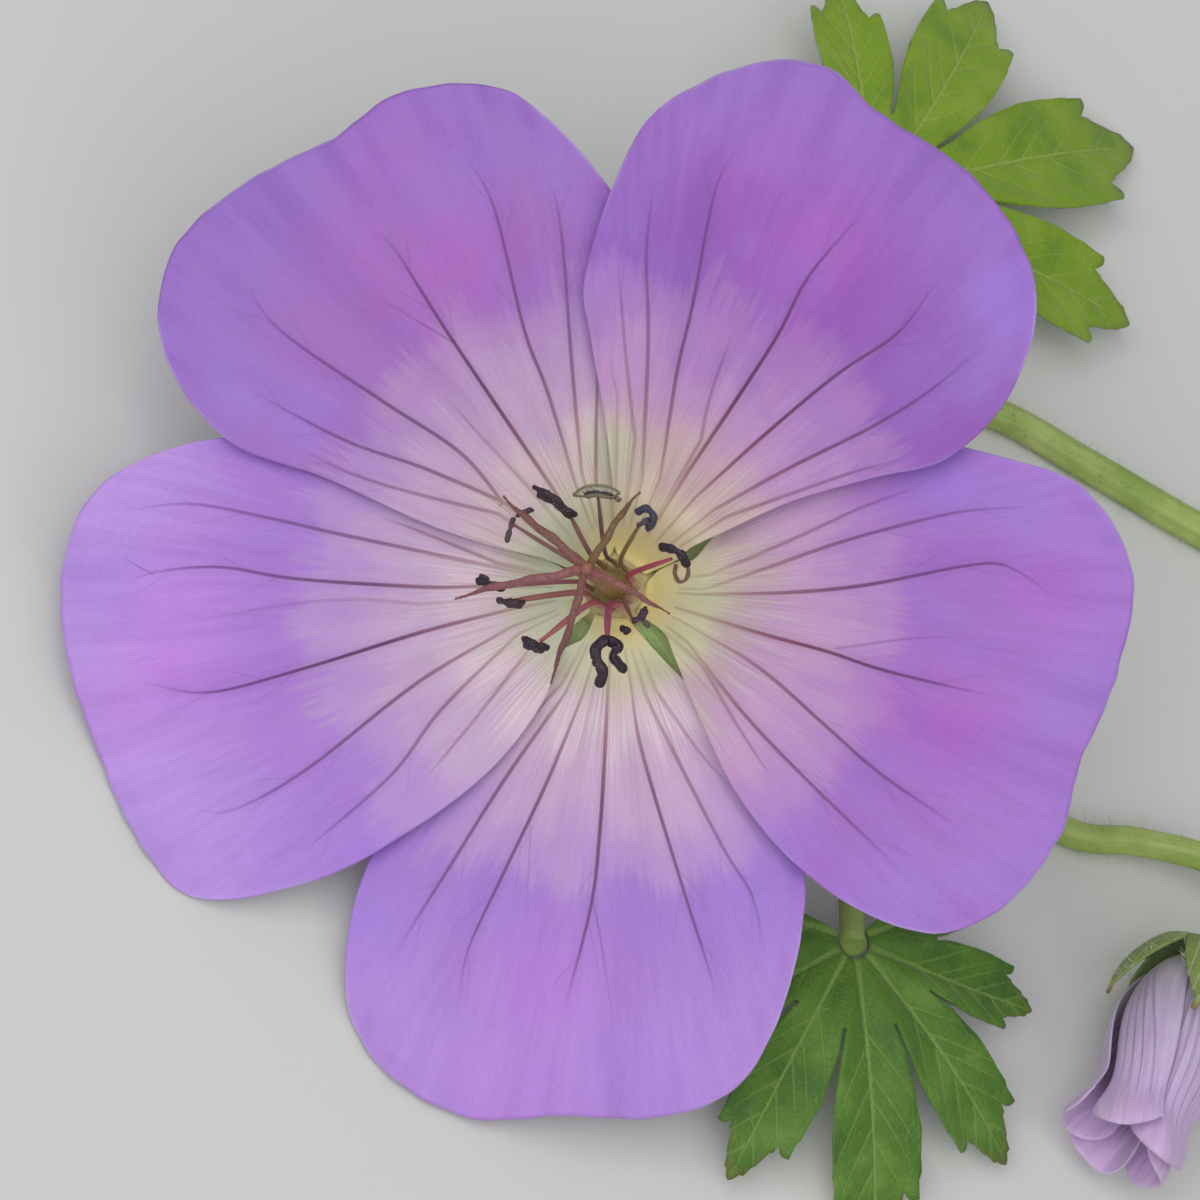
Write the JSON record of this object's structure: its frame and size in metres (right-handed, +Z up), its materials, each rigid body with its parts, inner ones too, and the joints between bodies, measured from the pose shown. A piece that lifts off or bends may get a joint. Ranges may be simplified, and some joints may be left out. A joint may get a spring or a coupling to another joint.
{
  "type": "hardy geranium",
  "caption": "Picked flowering sprig of hardy geranium lying down: a violet five-petalled flower facing up, a half-open bud, lobed leaves and a forked stem.",
  "frame": {"origin": "middle of the sprig's box, on the surface that it lies on", "axes": "+Z up from the surface, +X towards the cut end of the main stem, +Y towards the upper leaf"},
  "size_m": [0.1086, 0.0756, 0.03],
  "materials": {
    "petal": "satin",
    "sepal": "matte",
    "leaf": "matte",
    "stem": "satin",
    "stamen": "matte",
    "stigma": "satin"
  },
  "bodies": {
    "root": {"petal_top_right": "petal", "petal_top_left": "petal", "petal_left": "petal", "petal_bottom": "petal", "petal_right": "petal", "sepal_1": "sepal", "sepal_2": "sepal", "sepal_3": "sepal", "sepal_4": "sepal", "sepal_5": "sepal", "stamens": "stamen", "pistil": "stigma", "stem": "stem", "leaf_upper": "leaf", "leaf_lower": "leaf", "bud_petals": "petal", "bud_calyx": "sepal"}
  },
  "joints": []
}
